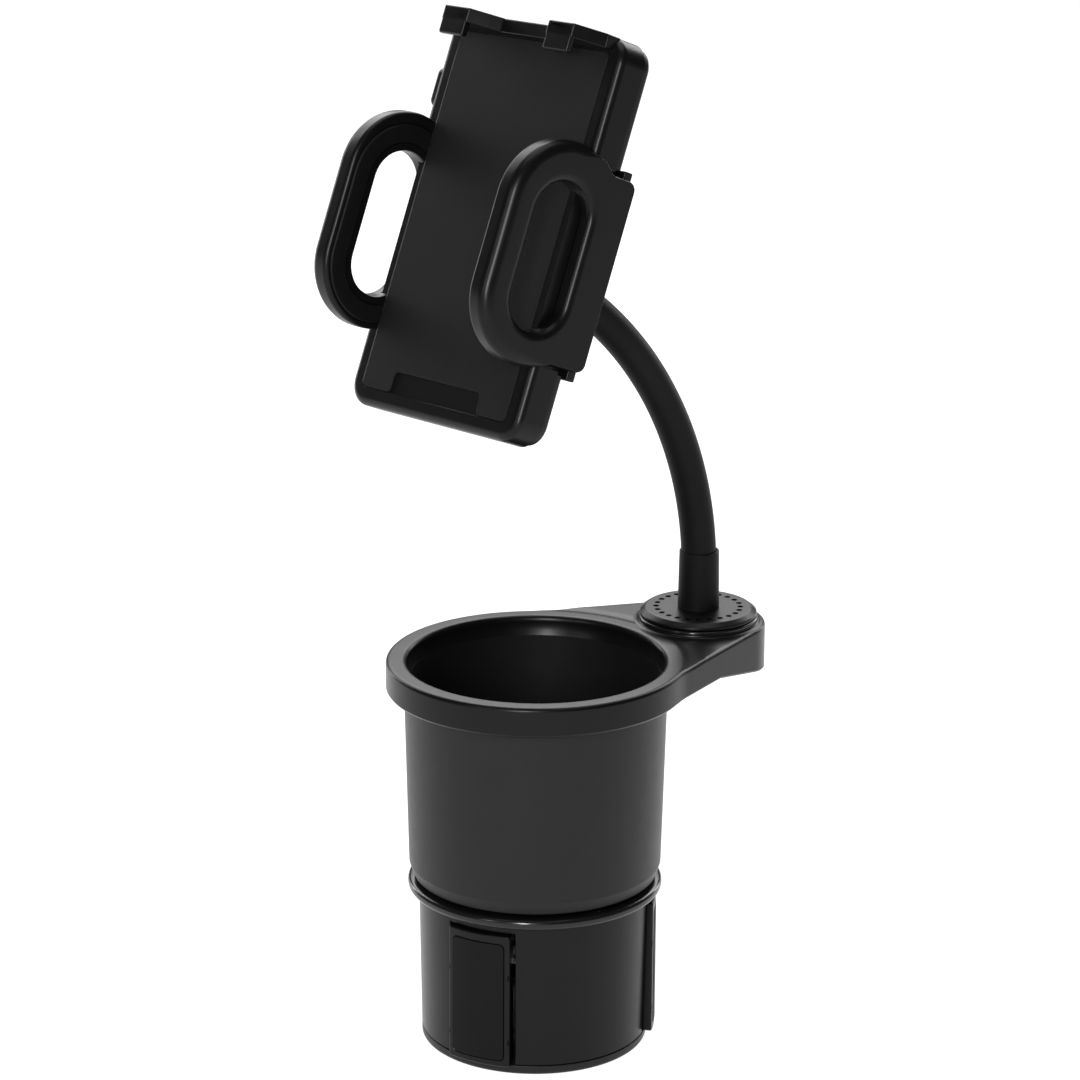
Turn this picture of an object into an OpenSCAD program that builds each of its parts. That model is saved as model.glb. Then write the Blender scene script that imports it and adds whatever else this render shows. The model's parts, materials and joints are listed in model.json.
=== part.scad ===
// Car phone mount: an expanding cup-holder base, a turning drink cup with an offset arm,
// a bendable neck and a ball-jointed phone cradle with two spring-geared loop arms.
// The origin is the centre of the base's bottom face. +Y points along the arm.

/* [Base] */
// Outer radius of the barrel at its top
barrel_r = 35.3; // [35.0:0.1:35.6]
// Outer radius of the bottom cap
cap_r = 34.5; // [34.3:0.1:34.6]
// Height of the top of the barrel
barrel_top = 48; // [48:0.5:48.5]
// Width of a gripper shoe
shoe_w = 21; // [20:0.5:21]
// Radius of the outer face of a shoe at rest
shoe_r = 37.1; // [36.5:0.1:37.5]
// Shoe travel for one radian of cup turn
scroll_rate = 3; // [2.8:0.1:3]

/* [Cup] */
// Radius of the cup opening
mouth_r = 39; // [38.8:0.1:39.1]
// Outer radius of the rim ring
rim_r = 45.25; // [45:0.25:46]
// Height of the top of the rim
rim_top = 121.4; // [121:0.1:122]

/* [Arm] */
// Distance from the cup axis to the swivel axis
arm_reach = 62.2; // [62:0.1:64]
// Radius of the round end of the arm
lobe_r = 20.7; // [20:0.1:21]
// Radius of the swivel disc
disc_r = 18.05; // [17.5:0.05:18.3]
// Number of blind holes in the swivel disc
disc_holes = 24; // [12:1:30]

/* [Neck] */
// Outer radius of the rubber sleeve
neck_r = 5.4; // [5.3:0.1:5.6]
// Radius of the neck's curve at rest
bend_r = 117.3; // [115:0.1:120]
// Height at which the curve starts
bend_z = 136.3; // [135:0.1:138]
// Angle of the whole curve at rest
bend_angle = 57; // [55:1:58]

/* [Cradle] */
// Backward lean of the cradle
cradle_lean = 22.94; // [20:0.1:25]
// Roll of the cradle about its face normal
cradle_roll = 4.19; // [0:0.1:5]
// Width of the cradle body
body_w = 80.4; // [80:0.2:82]
// Width of the face pad
pad_w = 68.8; // [66:0.2:70]
// Height of the face pad
pad_h = 109; // [107:0.5:109]
// How far an arm stands in front of the face
arm_depth = 25.8; // [25:0.2:28]
// Thickness of an arm
arm_t = 4.6; // [4.4:0.1:5]

/* [Hidden] */
$fn = 72;

// colours
black = [0.05, 0.05, 0.055];
satin = [0.09, 0.09, 0.095];
rubber = [0.03, 0.03, 0.032];
steel = [0.62, 0.63, 0.65];
nylon = [0.8, 0.79, 0.74];

// base
cap_top = 3;
wall = 2.4;
shoe_first = -64.3;
shoe_step = 120;
shoe_bottom = 3.2;
shoe_top = 45.7;
shoe_inner = 31.2;
window_gap = 0.3;
leg_w = 9;
leg_z = 35.3;
leg_h = 3.2;
leg_end = 16;
pin_at = 18;
pin_r = 1.5;
post_at = 23.8;
guide_z = 33.4;
guide_t = 1.8;
scroll_z = 39.4;
scroll_t = 3.2;
scroll_outer = 24.6;
hub_r = 8;
hub_low_r = 6.5;
fit = 0.05;
lid_top = 51.3;
bead_r = 1.7;
bead_at = 37.05;
bead_z = 50.3;
pad_inset = 0.8;

// cup and arm
cup_bottom = 53.3;
floor_top = 55.9;
ring_bottom = 112.2;
shell_top = 115.6;
shell_r = 39.8;
arm_top = rim_top;
boss_top = 122.2;
lobe_bottom = 105;
slope_from = 50;
slope = 12.4;
pocket_top = 114.4;
arm_side = 43.9;
tangent = asin((arm_side - lobe_r) / arm_reach);
stem_r = 6;
ring_top = 123.3;
disc_low = 123.6;
disc_top = 125.7;
hole_ring_r = 13;

// neck: seven joints shared evenly along the curve
joints = 7;
joint_step = bend_angle / joints;
ball_out = 11;
function on_curve(a) = [0, arm_reach - bend_r * (1 - cos(a)), bend_z + bend_r * sin(a)];
function joint_at(k) = on_curve(joint_step * (k - 0.5));
neck_end = on_curve(bend_angle);
ball_centre = neck_end + ball_out * [0, -sin(bend_angle), cos(bend_angle)];
link_ball_r = 3.2;
link_cup_r = 3.9;
link_rod_r = 1.9;
sleeve_inner = 4.4;
boot_top = 144;
boot_r = 6.1;
boot_angle = asin((boot_top - bend_z) / bend_r);

// ball joint, with z along the cradle's face normal and the ball centre at the origin
ball_r = 7.5;
liner_r = 8.75;
socket_r = 8.8;
face_out = 24.5;
face_up = 9.3;

// cradle, with z along the face normal and the centre of the face at the origin
body_top = 59.2;
body_low = -60;
front_t = 9.2;
body_t = 12.4;
skin = 2.2;
corner_r = 7.5;
side_x = 37.2;
bay_top = 22.4;
bay_low = -36.6;
arm_in = 37.6;
loop_in = 34.2;
loop_gap = 0.45;
arm_out = arm_in + arm_t;
loop_top = 27;
loop_low = -38.4;
loop_back = -4;
loop_r = 19.8;
loop_mid = arm_depth - loop_r;
flare_in = 41;
root_top = 21.3;
root_low = -35.6;
root_back = -17;
slot_r = 10;
slot_top = 15.2;
slot_low = -28.4;
slot_mid = 6;
pinion_y = -5;
pinion_teeth = 12;
pinion_pitch = 6;
rack_step = 2 * PI * pinion_pitch / pinion_teeth;
gear_low = -8.6;
gear_high = -6;
tongue_w = 8;
tongue_far = 17;
button_y = 37.1;
button_l = 12;
button_t = 4.4;
button_z = -4.5;
spring_start = -35.6;
spring_end = -28;
hook_in = 18.9;
hook_out = 30.2;
hook_reach = 12;
screw_spots = [[31, 46], [-31, 46], [31, -49], [-31, -49]];

// helpers
module ring(outer, inner, z0, z1) {
  translate([0, 0, z0])
    difference() {
      cylinder(r = outer, h = z1 - z0);
      translate([0, 0, -1]) cylinder(r = inner, h = z1 - z0 + 2);
    }
}

module rounded(x0, x1, y0, y1, r) {
  translate([x0 + r, y0]) square([x1 - x0 - 2 * r, y1 - y0]);
  translate([x0, y0 + r]) square([x1 - x0, y1 - y0 - 2 * r]);
  for (x = [x0 + r, x1 - r], y = [y0 + r, y1 - r])
    translate([x, y]) circle(r = r);
}

module plate(x0, x1, y0, y1, r, z0, z1) {
  translate([0, 0, z0]) linear_extrude(z1 - z0) rounded(x0, x1, y0, y1, r);
}

module brick(x0, x1, y0, y1, z0, z1) {
  translate([x0, y0, z0]) cube([x1 - x0, y1 - y0, z1 - z0]);
}

module at_shoe(i) {
  rotate([0, 0, shoe_first + shoe_step * i]) children();
}

module at_post(i) {
  rotate([0, 0, shoe_first + shoe_step * (i + 0.5)]) translate([post_at, 0, 0]) children();
}

module at_disc() {
  translate([0, arm_reach, 0]) children();
}

module at_ball() {
  translate(ball_centre) rotate([90 - cradle_lean, 0, 0]) rotate([0, 0, cradle_roll]) children();
}

module at_face() {
  at_ball() translate([0, face_up, face_out]) children();
}

// from point a towards point b in the neck's plane, with z along the line
module along(a, b) {
  d = b - a;
  translate(a) rotate([atan2(-d[1], d[2]), 0, 0]) children();
}

// ---- base ----
module base_barrel() color(black)
  difference() {
    rotate_extrude()
      polygon([
        [cap_r - wall, cap_top], [cap_r, cap_top], [barrel_r, barrel_top - 2], [barrel_r, barrel_top],
        [barrel_r - wall, barrel_top], [barrel_r - wall, barrel_top - 2]
      ]);
    for (i = [0:2])
      at_shoe(i)
        brick(25, 45, -shoe_w / 2 - window_gap, shoe_w / 2 + window_gap, cap_top - 1, shoe_top + window_gap);
  }

module base_cap() color(satin)
  difference() {
    rotate_extrude()
      polygon([[0, 0], [cap_r - 1.3, 0], [cap_r - 0.4, 0.4], [cap_r, 1.3], [cap_r, cap_top], [0, cap_top]]);
    for (i = [0:2])
      at_post(i) {
        translate([0, 0, -1]) cylinder(r = 1.4, h = cap_top + 2);
        translate([0, 0, -1]) cylinder(r = 3.3, h = 2.9);
      }
  }

module base_lid() color(black)
  difference() {
    union() {
      translate([0, 0, barrel_top]) cylinder(r = bead_at - 0.4, h = lid_top - barrel_top);
      rotate_extrude() translate([bead_at, bead_z]) circle(r = bead_r);
      translate([0, 0, barrel_top - 3]) cylinder(r = 11, h = 3.5);
      ring(barrel_r - wall - 0.1, barrel_r - wall - 1.6, barrel_top - 1.7, barrel_top + 0.2);
    }
    translate([0, 0, barrel_top - 5]) cylinder(r = hub_r + fit, h = 12);
  }

module base_screws() color(steel)
  for (i = [0:2])
    at_post(i) {
      translate([0, 0, 0.4]) cylinder(r = 3, h = 1.5);
      translate([0, 0, 1.9]) cylinder(r = 1.2, h = 12);
    }

module shoe_guide() color(nylon)
  difference() {
    union() {
      translate([0, 0, guide_z]) cylinder(r = 28, h = guide_t);
      for (i = [0:2]) {
        at_post(i) translate([0, 0, cap_top]) cylinder(r = 3.4, h = guide_z - cap_top + 0.4);
        at_shoe(i)
          for (s = [-1, 1])
            brick(12, 26.5, s > 0 ? leg_w / 2 + 0.2 : -leg_w / 2 - 1.8, s > 0 ? leg_w / 2 + 1.8 : -leg_w / 2 - 0.2,
              guide_z + guide_t - 0.5, leg_z + leg_h - 0.3);
      }
    }
    translate([0, 0, guide_z - 1]) cylinder(r = 9, h = 8);
    for (i = [0:2])
      at_post(i) translate([0, 0, cap_top - 1]) cylinder(r = 1.2 + fit, h = 13);
  }

module shoe_block(inner, outer, half_w, z0, z1) {
  intersection() {
    translate([0, 0, z0]) cylinder(r = outer, h = z1 - z0);
    brick(inner, 45, -half_w, half_w, z0, z1);
  }
}

module pad_block(extra) {
  difference() {
    shoe_block(20, shoe_r + extra, shoe_w / 2 - 1.7, shoe_bottom + 2, shoe_top - 2.6);
    translate([0, 0, shoe_bottom]) cylinder(r = shoe_r - pad_inset, h = shoe_top - shoe_bottom);
  }
}

module shoe(i) color(black)
  at_shoe(i) {
    difference() {
      shoe_block(shoe_inner, shoe_r, shoe_w / 2, shoe_bottom, shoe_top);
      pad_block(1);
      for (s = [-1, 1], z = [10.5, 31.5])
        brick(34.2, 35.6, s > 0 ? shoe_w / 2 - 0.8 : -shoe_w / 2 - 1, s > 0 ? shoe_w / 2 + 1 : -shoe_w / 2 + 0.8,
          z, z + 1.6);
    }
    brick(leg_end, shoe_inner + 0.2, -leg_w / 2, leg_w / 2, leg_z, leg_z + leg_h);
    translate([pin_at, 0, leg_z + leg_h - 0.2]) cylinder(r = pin_r, h = 3.6);
  }

module shoe_pad(i) color(rubber) at_shoe(i) pad_block(0.15);

// ---- cup ----
module cup_shell() color(satin)
  difference() {
    rotate_extrude()
      polygon([
        [0, cup_bottom], [37.2, cup_bottom], [37.9, 54.4], [38.4, 57.3], [shell_r, ring_bottom],
        [shell_r, shell_top], [38.1, shell_top], [36.3, 59.5], [34.6, floor_top], [0, floor_top]
      ]);
    for (i = [0:2])
      rotate([0, 0, 120 * i]) translate([11, 0, cup_bottom - 1]) cylinder(r = 1.3, h = 6);
  }

module rim_ring() {
  rotate_extrude()
    polygon([
      [shell_r + fit, ring_bottom], [shell_r + fit, shell_top], [mouth_r, shell_top], [mouth_r, rim_top - 1.6],
      [mouth_r + 0.4, rim_top - 0.6], [mouth_r + 1.4, rim_top], [rim_r - 1, rim_top],
      [rim_r - 0.3, rim_top - 0.3], [rim_r, rim_top - 1], [rim_r, ring_bottom]
    ]);
}

module arm_outline() {
  polygon([
    [arm_side * cos(tangent), arm_side * sin(tangent)],
    [lobe_r * cos(tangent), arm_reach + lobe_r * sin(tangent)],
    [-lobe_r * cos(tangent), arm_reach + lobe_r * sin(tangent)],
    [-arm_side * cos(tangent), arm_side * sin(tangent)]
  ]);
  translate([0, arm_reach]) circle(r = lobe_r);
}

module collar_arm() color(black) {
  rim_ring();
  difference() {
    union() {
      translate([0, 0, lobe_bottom]) linear_extrude(arm_top - lobe_bottom) arm_outline();
      at_disc() translate([0, 0, arm_top - 1]) cylinder(r = 18.6, h = boss_top - arm_top + 1);
    }
    translate([0, 0, lobe_bottom - 1]) cylinder(r = rim_r - 2, h = 30);
    brick(-60, 60, -10, slope_from, lobe_bottom - 10, ring_bottom);
    translate([0, slope_from, ring_bottom]) rotate([-slope, 0, 0]) brick(-60, 60, 0, 60, -20, 0);
    at_disc() translate([0, 0, lobe_bottom - 2]) cylinder(r = 17.4, h = pocket_top - lobe_bottom + 2);
    at_disc() translate([0, 0, lobe_bottom]) cylinder(r = stem_r + fit, h = 20);
  }
}

module cup_hub() color(nylon)
  difference() {
    union() {
      translate([0, 0, scroll_z]) cylinder(r = hub_low_r, h = scroll_t);
      translate([0, 0, scroll_z + scroll_t]) cylinder(r = hub_r, h = 9.5);
      translate([0, 0, lid_top + 0.3]) cylinder(r = 15, h = cup_bottom - lid_top - 0.3);
    }
    translate([0, 0, scroll_z - 1]) cylinder(r = 1.6, h = 12);
    for (i = [0:2])
      rotate([0, 0, 120 * i]) translate([11, 0, lid_top]) cylinder(r = 1.2 + fit, h = 4);
  }

// spiral slot whose radius falls by scroll_rate for each radian
function spiral(a, side) =
  (pin_at - scroll_rate * a * PI / 180 + side) * [cos(a), sin(a)];

module scroll_slot() {
  half = pin_r + 0.4;
  from = -83;
  to = 53;
  steps = 20;
  polygon(concat(
    [for (k = [0:steps]) spiral(from + (to - from) * k / steps, half)],
    [for (k = [steps:-1:0]) spiral(from + (to - from) * k / steps, -half)]
  ));
}

module cam_scroll() color(steel)
  difference() {
    translate([0, 0, scroll_z]) cylinder(r = scroll_outer, h = scroll_t);
    translate([0, 0, scroll_z - 1]) cylinder(r = hub_low_r, h = scroll_t + 2);
    for (i = [0:2])
      at_shoe(i) translate([0, 0, scroll_z - 1]) linear_extrude(scroll_t + 2) scroll_slot();
  }

module hub_screws() color(steel)
  for (i = [0:2])
    rotate([0, 0, 120 * i]) translate([11, 0, 0]) {
      translate([0, 0, floor_top]) cylinder(r = 2.6, h = 1.4);
      translate([0, 0, floor_top - 4]) cylinder(r = 1.2, h = 4.2);
    }

module hub_bolt() color(steel) {
  translate([0, 0, scroll_z - 2.2]) cylinder(r = 7.4, h = 2.2);
  translate([0, 0, scroll_z]) cylinder(r = 1.55, h = 8);
}

module swivel_ring() color(rubber) at_disc() ring(18.4, 11, boss_top, ring_top);

// ---- neck ----
module swivel_disc() color(black)
  at_disc()
    difference() {
      union() {
        rotate_extrude()
          polygon([
            [0, disc_low], [disc_r, disc_low], [disc_r, disc_top - 1.3], [disc_r - 0.4, disc_top - 0.4],
            [disc_r - 1.5, disc_top], [0, disc_top]
          ]);
        translate([0, 0, pocket_top - 0.3]) cylinder(r = stem_r, h = disc_low - pocket_top + 0.5);
      }
      translate([0, 0, pocket_top - 1]) cylinder(r = 1.95, h = 6);
      for (k = [0:disc_holes - 1])
        rotate([0, 0, 360 / disc_holes * (k + 0.5)])
          translate([hole_ring_r, 0, disc_top - 0.9]) cylinder(r = 0.9, h = 2);
    }

module swivel_washer() color(steel) at_disc() ring(10.5, 1.95, pocket_top - 1.5, pocket_top - 0.3);

module swivel_screw() color(steel)
  at_disc() {
    translate([0, 0, pocket_top - 3.5]) cylinder(r = 4.2, h = 2);
    translate([0, 0, pocket_top - 3.5]) cylinder(r = 1.9, h = 7);
  }

// a length of curved tube from the start of the neck's curve
module curved_tube(outer, inner, angle) {
  translate([0, arm_reach - bend_r, bend_z])
    rotate([0, 0, 90]) rotate([90, 0, 0])
      rotate_extrude(angle = angle, $fn = 360)
        translate([bend_r, 0])
          difference() {
            circle(r = outer, $fn = 48);
            circle(r = inner, $fn = 48);
          }
}

module neck_boot() color(rubber) {
  at_disc()
    difference() {
      translate([0, 0, disc_top]) cylinder(r1 = 6.4, r2 = boot_r, h = bend_z - disc_top);
      translate([0, 0, disc_top - 1]) cylinder(r = neck_r + fit, h = boot_top);
    }
  curved_tube(boot_r, neck_r + fit, boot_angle);
}

module neck_sleeve() color(rubber) {
  at_disc() ring(neck_r, sleeve_inner, disc_top, bend_z);
  curved_tube(neck_r, sleeve_inner, bend_angle);
}

// one core link: a ball at its start, and a cup that holds the next link's ball
module link_ball(a, b) along(a, b) {
  sphere(r = link_ball_r);
  translate([0, 0, 1]) cylinder(r = link_rod_r, h = norm(b - a) / 2);
}

module link_cup(a, b) along(a, b)
  difference() {
    translate([0, 0, norm(b - a) / 2 - 0.5]) cylinder(r = link_cup_r, h = norm(b - a) / 2 + 1.1);
    translate([0, 0, norm(b - a)]) sphere(r = link_ball_r + fit);
  }

module neck_link(k) color(steel) {
  if (k == 0)
    along([0, arm_reach, disc_top], joint_at(1))
      difference() {
        cylinder(r = link_cup_r, h = norm(joint_at(1) - [0, arm_reach, disc_top]) + 0.6);
        translate([0, 0, norm(joint_at(1) - [0, arm_reach, disc_top])]) sphere(r = link_ball_r + fit);
      }
  else {
    link_ball(joint_at(k), joint_at(k + 1));
    link_cup(joint_at(k), joint_at(k + 1));
  }
}

module ball_stud() color(steel) {
  along(joint_at(joints), neck_end) {
    sphere(r = link_ball_r);
    cylinder(r = link_rod_r, h = norm(neck_end - joint_at(joints)));
  }
  along(neck_end, ball_centre) {
    translate([0, 0, -2.5]) cylinder(r = 3, h = ball_out + 2);
    translate([0, 0, ball_out]) sphere(r = ball_r);
  }
}

module neck_end_cap() color(rubber)
  along(neck_end, ball_centre) ring(5.6, 3, 0, 1.6);

// ---- ball joint ----
// spherical shell, open towards the neck by an angle of mouth
module cap_shell(outer, inner, mouth, top) {
  rotate_extrude()
    difference() {
      circle(r = outer);
      circle(r = inner);
      translate([-20, -20]) square([20, 40]);
      polygon([[0, 0], [0, -20], [20 * tan(mouth), -20]]);
      translate([-1, top]) square([20, 20]);
    }
}

module ball_liner() color(nylon) at_ball() cap_shell(liner_r, ball_r + fit, 43, 6.4);

module socket_cup() color(black)
  at_ball()
    difference() {
      union() {
        translate([0, 0, -1]) cylinder(r = 11, h = 8);
        translate([0, 0, 6.5]) cylinder(r1 = 11, r2 = 14, h = 3);
        translate([0, 0, 9.4]) cylinder(r = 14, h = face_out - body_t - 9.7);
        translate([0, 0, 9.4]) cylinder(r = 5, h = face_out - body_t + skin - 9.4 + 1.2);
      }
      sphere(r = socket_r);
    }

module ring_nut() color(black)
  at_ball()
    difference() {
      union() {
        ring(13.2, 11, -1, 5);
        translate([0, 0, -6]) cylinder(r1 = 10.2, r2 = 13.2, h = 5);
      }
      sphere(r = socket_r);
      translate([0, 0, -9]) cylinder(r1 = 8, r2 = 6.2, h = 4);
      for (k = [0:17])
        rotate([0, 0, 20 * k]) translate([13.9, 0, -1.5]) cylinder(r = 1.2, h = 8);
    }

module socket_clip() color(steel)
  at_ball()
    ring(8, 5, face_out - body_t + skin + 0.3, face_out - body_t + skin + 1.1);

// ---- cradle ----
// outline of the body, narrowed where the arms close against it
module body_outline(inset) {
  difference() {
    rounded(-body_w / 2 + inset, body_w / 2 - inset, body_low + inset, body_top - inset, corner_r - inset);
    for (s = [-1, 1])
      translate([s > 0 ? side_x - inset : -side_x - 20 + inset, bay_low - inset])
        square([20, bay_top - bay_low + 2 * inset]);
  }
}

module hook_web(from, to) {
  translate([0, body_top, 0]) rotate([90, 0, 0]) linear_extrude(4)
    polygon([[from, 0], [to, 0], [to, 3], [from, hook_reach - 0.5]]);
}

module hook(s) {
  x0 = s > 0 ? hook_in : -hook_out;
  translate([x0, 0, 0]) {
    brick(0, hook_out - hook_in, body_top - 4, body_top, -2, hook_reach);
    brick(0, hook_out - hook_in, body_top - 8.4, body_top - 2, hook_reach - 2.4, hook_reach);
  }
  hook_web(s * (hook_out - 0.5), s * (hook_out + 4.8));
  hook_web(s * (hook_in + 0.5), s * (hook_in - 6.1));
}

module side_slots() {
  brick(30, 50, pinion_y - 6 - tongue_w - 1.8, pinion_y - 6, gear_low - 0.4, gear_high + 0.4);
  brick(-50, -30, pinion_y + 6, pinion_y + 6 + tongue_w + 1.8, gear_low - 0.4, gear_high + 0.4);
}

module cradle_front() color(black)
  at_face() {
    difference() {
      union() {
        translate([0, 0, -front_t]) linear_extrude(front_t - 1.2) body_outline(0);
        translate([0, 0, -1.3]) linear_extrude(1.3) body_outline(1.2);
        brick(-35, 35, pad_h / 2 + 0.4, body_top, -2, 3);
        hook(1);
        hook(-1);
      }
      translate([0, 0, -front_t - 1]) linear_extrude(front_t - skin + 1) body_outline(skin);
      plate(-pad_w / 2 - 0.1, pad_w / 2 + 0.1, -pad_h / 2 - 0.1, pad_h / 2 + 0.1, 1, -0.8, 1);
      side_slots();
      brick(-46, -36, button_y - button_l / 2 - 0.4, button_y + button_l / 2 + 0.4,
        button_z - button_t / 2 - 0.4, button_z + button_t / 2 + 0.4);
    }
    for (p = screw_spots)
      translate([p[0], p[1], -front_t]) ring(3, 1.2, 0, front_t - skin + 0.3);
    translate([0, pinion_y, gear_low]) cylinder(r = 2, h = -gear_low - skin + 0.3);
    brick(spring_end + 0.2, spring_end + 1.8, button_y + 1.6, button_y + 5.4, -7, 0.3 - skin);
  }

module cradle_rear() color(satin)
  at_face()
    difference() {
      translate([0, 0, -body_t]) linear_extrude(body_t - front_t) body_outline(0.8);
      translate([0, 0, -body_t + skin]) linear_extrude(5) body_outline(skin + 0.8);
      translate([0, -face_up, -body_t - 1]) cylinder(r = 5 + fit, h = 5);
      for (p = screw_spots)
        translate([p[0], p[1], -body_t - 1]) {
          cylinder(r = 1.3, h = 5);
          cylinder(r = 2.8, h = 2.4);
        }
    }

module face_pad() color([0.12, 0.12, 0.125])
  at_face()
    difference() {
      plate(-pad_w / 2, pad_w / 2, -pad_h / 2, pad_h / 2, 1, -0.8, 0.1);
      plate(-20.6, 20.6, -pad_h / 2 - 2, -48.1, 1, -2, 2);
    }

module cradle_screws() color(steel)
  at_face()
    for (p = screw_spots)
      translate([p[0], p[1], -body_t]) {
        translate([0, 0, 0.1]) cylinder(r = 2.6, h = 1.3);
        translate([0, 0, 1.2]) cylinder(r = 1.15, h = 8);
      }

function wind(a, side) = (3.2 + 0.7 * a / 360 + side) * [cos(a), sin(a)];

module wind_spring() color(steel)
  at_face()
    translate([0, pinion_y, -4.3]) linear_extrude(1.6)
      polygon(concat(
        [for (k = [0:48]) wind(k * 20, 0.15)],
        [for (k = [48:-1:0]) wind(k * 20, -0.15)]
      ));

// ---- arms: modelled for the right side, the left one is the same arm turned over ----
module loop_outline() {
  intersection() {
    union() {
      translate([loop_low + loop_r, loop_mid]) circle(r = loop_r);
      translate([loop_top - loop_r, loop_mid]) circle(r = loop_r);
      translate([loop_low + loop_r, loop_back])
        square([loop_top - loop_low - 2 * loop_r, arm_depth - loop_back]);
    }
    translate([loop_low, loop_back]) square([loop_top - loop_low, 40]);
  }
}

// stands an outline drawn in (height, depth) upright at x
module upright(x, t) {
  translate([x, 0, 0]) rotate([90, 0, 90]) linear_extrude(t) children();
}

module slot_cut(x, t, grow) {
  upright(x, t)
    union() {
      translate([slot_low + slot_r, slot_mid]) circle(r = slot_r + grow);
      translate([slot_top - slot_r, slot_mid]) circle(r = slot_r + grow);
      translate([slot_low + slot_r, slot_mid - slot_r - grow])
        square([slot_top - slot_low - 2 * slot_r, 2 * (slot_r + grow)]);
    }
}

module loop_body() {
  difference() {
    union() {
      upright(loop_in, arm_out - loop_in) loop_outline();
      upright(arm_in, arm_t)
        union() {
          translate([root_low, root_back + 2]) square([root_top - root_low, -root_back]);
          translate([root_low + 2, root_back]) square([root_top - root_low - 4, 4]);
        }
    }
    brick(30, arm_in, root_low - 5, root_top + 6, -20, loop_gap);
    brick(30, flare_in, root_top, root_top + 6, -20, loop_gap);
    brick(30, flare_in, root_low - 5, root_low, -20, loop_gap);
    slot_cut(loop_in - 1, arm_out - loop_in + 2, 0);
    difference() {
      slot_cut(loop_in - 1, 1.9, 8.4);
      slot_cut(loop_in - 2, 4, 2.4);
      brick(30, 50, -60, 60, -20, 1);
    }
  }
}

module tooth(base, tip, h) {
  polygon([[-base / 2, -0.2], [base / 2, -0.2], [tip / 2, h], [-tip / 2, h]]);
}

module tongue() {
  y1 = pinion_y - pinion_pitch - 1.2;
  brick(-tongue_far, arm_in + 0.5, y1 - tongue_w, y1, gear_low, gear_high);
  for (k = [-5:0])
    translate([k * rack_step, y1, gear_low]) linear_extrude(gear_high - gear_low) tooth(1.9, 0.7, 1.9);
}

// slide plate behind the body, its ends showing past the arm's root
module slide_plate() {
  brick(35.5, 40.4, -38.3, 23.6, -body_t - 3.4, -body_t - 0.3);
}

module arm_right() color(black)
  at_face() {
    loop_body();
    slide_plate();
    tongue();
  }

module arm_left() color(black)
  at_face() {
    mirror([1, 0, 0]) loop_body();
    mirror([1, 0, 0]) slide_plate();
    translate([0, 2 * pinion_y, 0]) rotate([0, 0, 180]) tongue();
  }

module grip() {
  difference() {
    slot_cut(loop_in - 0.6, 1.5, 8.3);
    slot_cut(loop_in - 2, 4, 2.5);
    brick(30, 50, -60, 60, -20, 1.1);
  }
}

module grip_right() color(rubber) at_face() grip();

module grip_left() color(rubber) at_face() mirror([1, 0, 0]) grip();

module pinion() color(nylon)
  at_face()
    translate([0, pinion_y, 0])
      difference() {
        union() {
          translate([0, 0, gear_low]) cylinder(r = pinion_pitch - 1.2, h = gear_high - gear_low);
          for (k = [0:pinion_teeth - 1])
            rotate([0, 0, 360 / pinion_teeth * (k + 0.5)])
              translate([0, pinion_pitch - 1.3, gear_low])
                linear_extrude(gear_high - gear_low) tooth(1.9, 0.7, 1.9);
          translate([0, 0, gear_high]) cylinder(r = 5.2, h = 1.2);
        }
        translate([0, 0, gear_low - 1]) cylinder(r = 2 + fit, h = 6);
      }

// ---- release button ----
module release_button() color(black)
  at_face() {
    translate([-44, 0, 0]) rotate([90, 0, 90]) linear_extrude(3.6)
      union() {
        translate([button_y - button_l / 2 + button_t / 2, button_z]) circle(r = button_t / 2);
        translate([button_y + button_l / 2 - button_t / 2, button_z]) circle(r = button_t / 2);
        translate([button_y - button_l / 2 + button_t / 2, button_z - button_t / 2])
          square([button_l - button_t, button_t]);
      }
    brick(-40.5, -38, button_y - 5, button_y + 5, button_z - 1.9, button_z + 1.5);
    brick(-38.1, -34, button_y - 2, button_y + 1, button_z - 1.2, button_z + 0.8);
  }

module release_bar() color(steel)
  at_face() {
    brick(-34, 9, button_y - 2, button_y + 1, -5.4, -4.5);
    brick(6.6, 9, pinion_y - 1.5, button_y - 1.9, -5.4, -4.5);
    brick(5.5, 6.7, pinion_y - 1, pinion_y + 1, -5.4, -4.5);
  }

// drawn at its pressed length
module button_spring() color(steel)
  at_face()
    translate([spring_start, button_y + 3.3, -5])
      rotate([0, 90, 0]) ring(1.6, 1.1, 0, spring_end - spring_start);

base_barrel();
base_cap();
base_lid();
base_screws();
shoe_guide();
shoe(0);  // shoe_1
shoe(1);  // shoe_2
shoe(2);  // shoe_3
shoe_pad(0);  // shoe_pad_1
shoe_pad(1);  // shoe_pad_2
shoe_pad(2);  // shoe_pad_3
cup_shell();
collar_arm();
cup_hub();
cam_scroll();
hub_screws();
hub_bolt();
swivel_ring();
swivel_disc();
swivel_washer();
swivel_screw();
neck_boot();
neck_sleeve();
neck_link(0);  // neck_link_0
neck_link(1);  // neck_link_1
neck_link(2);  // neck_link_2
neck_link(3);  // neck_link_3
neck_link(4);  // neck_link_4
neck_link(5);  // neck_link_5
neck_link(6);  // neck_link_6
ball_stud();
neck_end_cap();
ball_liner();
socket_cup();
ring_nut();
socket_clip();
cradle_front();
cradle_rear();
face_pad();
cradle_screws();
wind_spring();
arm_left();
arm_right();
grip_left();
grip_right();
pinion();
release_button();
release_bar();
button_spring();
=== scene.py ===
"""Looks of the car phone mount: detailed shells, pads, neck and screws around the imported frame."""
import json
from math import asin, atan2, ceil, cos, pi, radians, sin, sqrt, tan

import bmesh
import bpy
from mathutils import Matrix, Vector


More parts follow.
